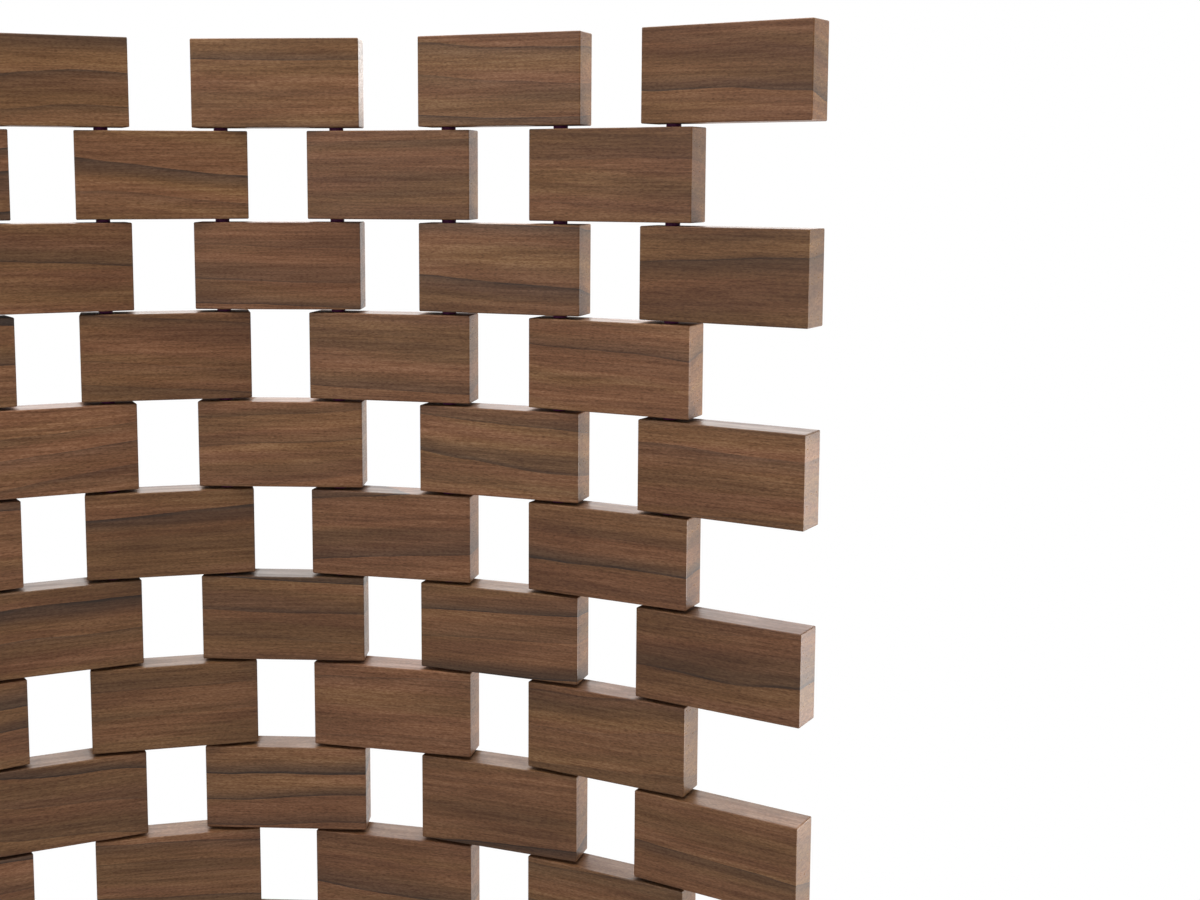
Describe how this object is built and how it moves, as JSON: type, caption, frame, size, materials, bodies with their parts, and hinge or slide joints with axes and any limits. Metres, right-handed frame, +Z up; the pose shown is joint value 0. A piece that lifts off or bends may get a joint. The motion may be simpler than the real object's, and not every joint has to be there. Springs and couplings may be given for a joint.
{
  "type": "folding screen",
  "caption": "Freestanding folding screen of walnut blocks in running bond, threaded on upright steel rods with spacers, with open windows between blocks.",
  "frame": {"origin": "centre of the screen's box in plan at rest, on the floor", "axes": "+X along the screen to the right seen from the front, +Y to the back, +Z up; the hollow side of the curve faces -Y"},
  "size_m": [1.2614, 0.3364, 1.7712],
  "materials": {
    "walnut": "satin oiled walnut",
    "rod_steel": "dark satin",
    "spacer": "matt dark aubergine",
    "nut_steel": "dark satin",
    "foot": "matt black"
  },
  "bodies": {
    "column_2": {"column_2_blocks": "walnut", "rod_1": "rod_steel", "column_2_spacers": "spacer", "column_2_top_nuts": "nut_steel", "column_2_feet": "foot"},
    "column_3": {"column_3_blocks": "walnut", "rod_2": "rod_steel", "column_3_spacers": "spacer", "column_3_top_nuts": "nut_steel", "column_3_feet": "foot"},
    "column_4": {"column_4_blocks": "walnut", "rod_3": "rod_steel", "column_4_spacers": "spacer", "column_4_top_nuts": "nut_steel", "column_4_feet": "foot"},
    "column_5": {"column_5_blocks": "walnut", "rod_4": "rod_steel", "rod_5": "rod_steel", "column_5_spacers": "spacer", "column_5_top_nuts": "nut_steel", "column_5_feet": "foot"},
    "column_6": {"column_6_blocks": "walnut", "rod_6": "rod_steel", "column_6_spacers": "spacer", "column_6_top_nuts": "nut_steel", "column_6_feet": "foot"},
    "column_7": {"column_7_blocks": "walnut", "rod_7": "rod_steel", "column_7_spacers": "spacer", "column_7_top_nuts": "nut_steel", "column_7_feet": "foot"},
    "column_8": {"column_8_blocks": "walnut", "rod_8": "rod_steel", "column_8_spacers": "spacer", "column_8_top_nuts": "nut_steel", "column_8_feet": "foot"},
    "column_9": {"column_9_blocks": "walnut", "rod_9": "rod_steel", "column_9_spacers": "spacer", "column_9_top_nuts": "nut_steel", "column_9_feet": "foot"},
    "right_end_block_1": {"right_end_block_1": "walnut"},
    "right_end_block_2": {"right_end_block_2": "walnut"},
    "right_end_block_3": {"right_end_block_3": "walnut"},
    "right_end_block_4": {"right_end_block_4": "walnut"},
    "right_end_block_5": {"right_end_block_5": "walnut"},
    "right_end_block_6": {"right_end_block_6": "walnut"},
    "right_end_block_7": {"right_end_block_7": "walnut"},
    "right_end_block_8": {"right_end_block_8": "walnut"},
    "right_end_block_9": {"right_end_block_9": "walnut"},
    "left_end_block_1": {"left_end_block_1": "walnut"},
    "left_end_block_2": {"left_end_block_2": "walnut"},
    "left_end_block_3": {"left_end_block_3": "walnut"},
    "left_end_block_4": {"left_end_block_4": "walnut"},
    "left_end_block_5": {"left_end_block_5": "walnut"},
    "left_end_block_6": {"left_end_block_6": "walnut"},
    "left_end_block_7": {"left_end_block_7": "walnut"},
    "left_end_block_8": {"left_end_block_8": "walnut"}
  },
  "joints": [
    {"name": "column_6_fold", "type": "hinge", "parent": "column_5", "child": "column_6", "pos_m": [0, 0.14444, 0.8856], "axis": [0, 0, 1], "range_deg": [-171, 127]},
    {"name": "column_7_fold", "type": "hinge", "parent": "column_6", "child": "column_7", "pos_m": [-0.1327, 0.12579, 0.8856], "axis": [0, 0, -1], "range_deg": [-132, 166]},
    {"name": "column_8_fold", "type": "hinge", "parent": "column_7", "child": "column_8", "pos_m": [-0.25939, 0.08217, 0.8856], "axis": [0, 0, 1], "range_deg": [-162.5, 144.5]},
    {"name": "column_9_fold", "type": "hinge", "parent": "column_8", "child": "column_9", "pos_m": [-0.37932, 0.02238, 0.8856], "axis": [0, 0, -1], "range_deg": [-147.5, 162.5]},
    {"name": "column_4_fold", "type": "hinge", "parent": "column_5", "child": "column_4", "pos_m": [0.1327, 0.12579, 0.8856], "axis": [0, 0, 1], "range_deg": [-132, 166]},
    {"name": "column_3_fold", "type": "hinge", "parent": "column_4", "child": "column_3", "pos_m": [0.25939, 0.08217, 0.8856], "axis": [0, 0, -1], "range_deg": [-162.5, 144.5]},
    {"name": "column_2_fold", "type": "hinge", "parent": "column_3", "child": "column_2", "pos_m": [0.37932, 0.02238, 0.8856], "axis": [0, 0, 1], "range_deg": [-147.5, 162.5]},
    {"name": "right_end_block_1_swing", "type": "hinge", "parent": "column_2", "child": "right_end_block_1", "pos_m": [0.49041, -0.05255, 0.8856], "axis": [0, 0, -1], "range_deg": [-159, 151]},
    {"name": "right_end_block_2_swing", "type": "hinge", "parent": "column_2", "child": "right_end_block_2", "pos_m": [0.49041, -0.05255, 0.8856], "axis": [0, 0, -1], "range_deg": [-159, 151]},
    {"name": "right_end_block_3_swing", "type": "hinge", "parent": "column_2", "child": "right_end_block_3", "pos_m": [0.49041, -0.05255, 0.8856], "axis": [0, 0, -1], "range_deg": [-159, 151]},
    {"name": "right_end_block_4_swing", "type": "hinge", "parent": "column_2", "child": "right_end_block_4", "pos_m": [0.49041, -0.05255, 0.8856], "axis": [0, 0, -1], "range_deg": [-159, 151]},
    {"name": "right_end_block_5_swing", "type": "hinge", "parent": "column_2", "child": "right_end_block_5", "pos_m": [0.49041, -0.05255, 0.8856], "axis": [0, 0, -1], "range_deg": [-159, 151]},
    {"name": "right_end_block_6_swing", "type": "hinge", "parent": "column_2", "child": "right_end_block_6", "pos_m": [0.49041, -0.05255, 0.8856], "axis": [0, 0, -1], "range_deg": [-159, 151]},
    {"name": "right_end_block_7_swing", "type": "hinge", "parent": "column_2", "child": "right_end_block_7", "pos_m": [0.49041, -0.05255, 0.8856], "axis": [0, 0, -1], "range_deg": [-159, 151]},
    {"name": "right_end_block_8_swing", "type": "hinge", "parent": "column_2", "child": "right_end_block_8", "pos_m": [0.49041, -0.05255, 0.8856], "axis": [0, 0, -1], "range_deg": [-159, 151]},
    {"name": "right_end_block_9_swing", "type": "hinge", "parent": "column_2", "child": "right_end_block_9", "pos_m": [0.49041, -0.05255, 0.8856], "axis": [0, 0, -1], "range_deg": [-159, 151]},
    {"name": "left_end_block_1_swing", "type": "hinge", "parent": "column_9", "child": "left_end_block_1", "pos_m": [-0.49041, -0.05255, 0.8856], "axis": [0, 0, 1], "range_deg": [-159, 151]},
    {"name": "left_end_block_2_swing", "type": "hinge", "parent": "column_9", "child": "left_end_block_2", "pos_m": [-0.49041, -0.05255, 0.8856], "axis": [0, 0, 1], "range_deg": [-159, 151]},
    {"name": "left_end_block_3_swing", "type": "hinge", "parent": "column_9", "child": "left_end_block_3", "pos_m": [-0.49041, -0.05255, 0.8856], "axis": [0, 0, 1], "range_deg": [-159, 151]},
    {"name": "left_end_block_4_swing", "type": "hinge", "parent": "column_9", "child": "left_end_block_4", "pos_m": [-0.49041, -0.05255, 0.8856], "axis": [0, 0, 1], "range_deg": [-159, 151]},
    {"name": "left_end_block_5_swing", "type": "hinge", "parent": "column_9", "child": "left_end_block_5", "pos_m": [-0.49041, -0.05255, 0.8856], "axis": [0, 0, 1], "range_deg": [-159, 151]},
    {"name": "left_end_block_6_swing", "type": "hinge", "parent": "column_9", "child": "left_end_block_6", "pos_m": [-0.49041, -0.05255, 0.8856], "axis": [0, 0, 1], "range_deg": [-159, 151]},
    {"name": "left_end_block_7_swing", "type": "hinge", "parent": "column_9", "child": "left_end_block_7", "pos_m": [-0.49041, -0.05255, 0.8856], "axis": [0, 0, 1], "range_deg": [-159, 151]},
    {"name": "left_end_block_8_swing", "type": "hinge", "parent": "column_9", "child": "left_end_block_8", "pos_m": [-0.49041, -0.05255, 0.8856], "axis": [0, 0, 1], "range_deg": [-159, 151]}
  ]
}
